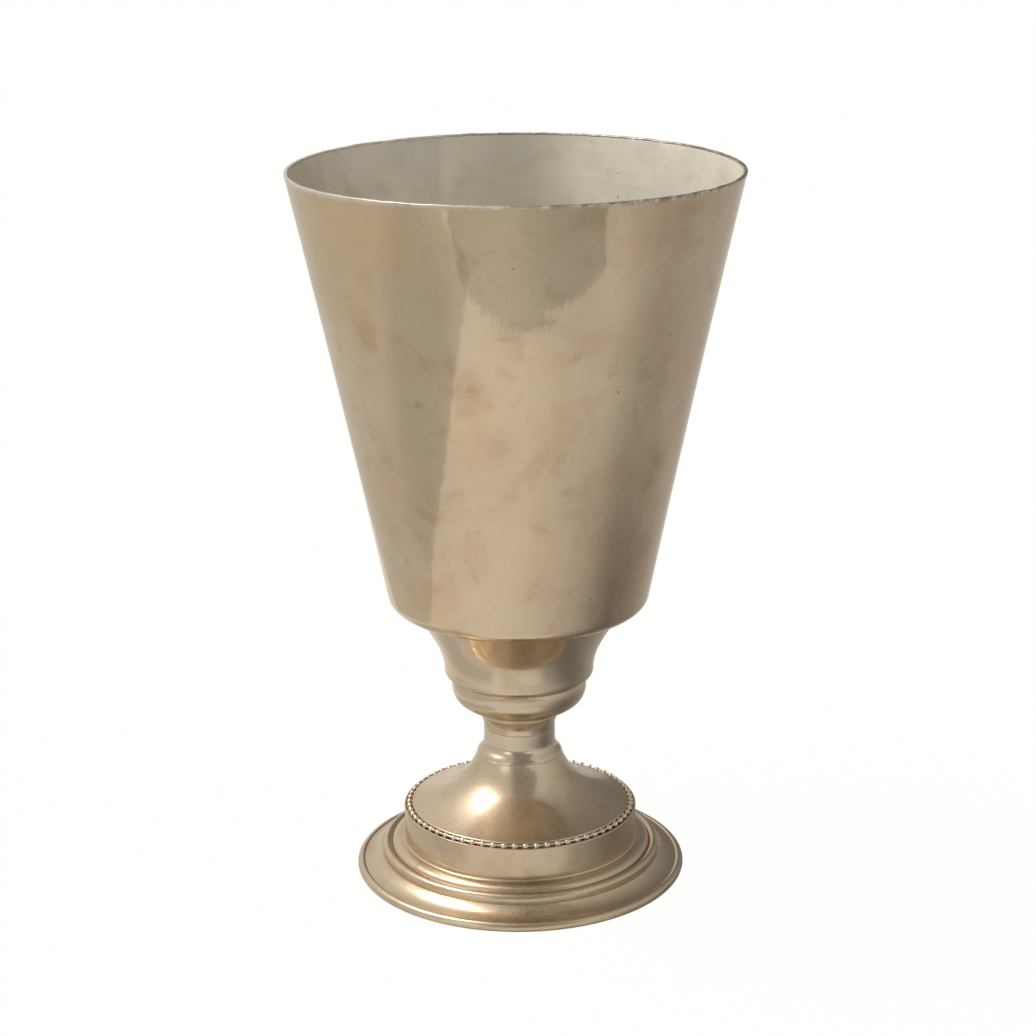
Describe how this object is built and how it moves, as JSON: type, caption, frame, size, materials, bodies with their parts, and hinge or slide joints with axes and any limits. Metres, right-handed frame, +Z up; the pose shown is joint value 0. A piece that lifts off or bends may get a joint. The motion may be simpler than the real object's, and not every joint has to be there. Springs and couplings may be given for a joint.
{
  "type": "communion chalice",
  "caption": "Communion chalice: tapered bowl with a pale lining on a moulded calyx, short neck, domed foot edged with a beaded wire, and a stepped round base with a rolled edge",
  "frame": {"origin": "centre of the foot's underside, on the table", "axes": "+Z up along the axis of the chalice from the foot to the lip; +X and +Y are equivalent, the chalice being round"},
  "size_m": [0.1224, 0.1224, 0.2],
  "materials": {
    "polished_nickel": "worn polished plate, warm champagne tone with faint tarnish",
    "tinned_lining": "matte silvery tinned lining, softly rubbed",
    "bare_brass": "turned or spun, dull and oxidised",
    "fastener_steel": "plain zinc-plated, dulled",
    "seat_fibre": "compressed dark red fibre, matte"
  },
  "bodies": {
    "stand": {"seat_washer": "seat_fibre", "calyx_upper": "polished_nickel", "calyx_lower": "polished_nickel", "calyx_collar": "polished_nickel", "neck_tube": "polished_nickel", "stem_flare": "polished_nickel", "beaded_wire": "polished_nickel", "foot_drum": "polished_nickel", "foot_step_upper": "polished_nickel", "foot_step_lower": "polished_nickel", "foot_flange": "polished_nickel", "foot_edge_wire": "bare_brass", "clamp_plate": "bare_brass", "flat_washer": "fastener_steel", "spring_washer": "fastener_steel"},
    "cup": {"bowl_shell": "polished_nickel", "bowl_liner": "tinned_lining", "bowl_boss": "bare_brass", "tie_stud": "fastener_steel"},
    "nut": {"clamp_nut": "fastener_steel"}
  },
  "joints": [
    {"name": "cup_lift", "type": "slide", "parent": "stand", "child": "cup", "axis": [0, 0, 1], "range_m": [0, 0.008]},
    {"name": "nut_turn", "type": "hinge", "parent": "stand", "child": "nut", "pos_m": [0, 0, 0.00815], "axis": [0, 0, -1], "range_deg": [0, 2304]}
  ],
  "couplings": [
    {"joint": "nut_turn", "follows": "cup_lift", "rad_per_m": 5026.5}
  ]
}
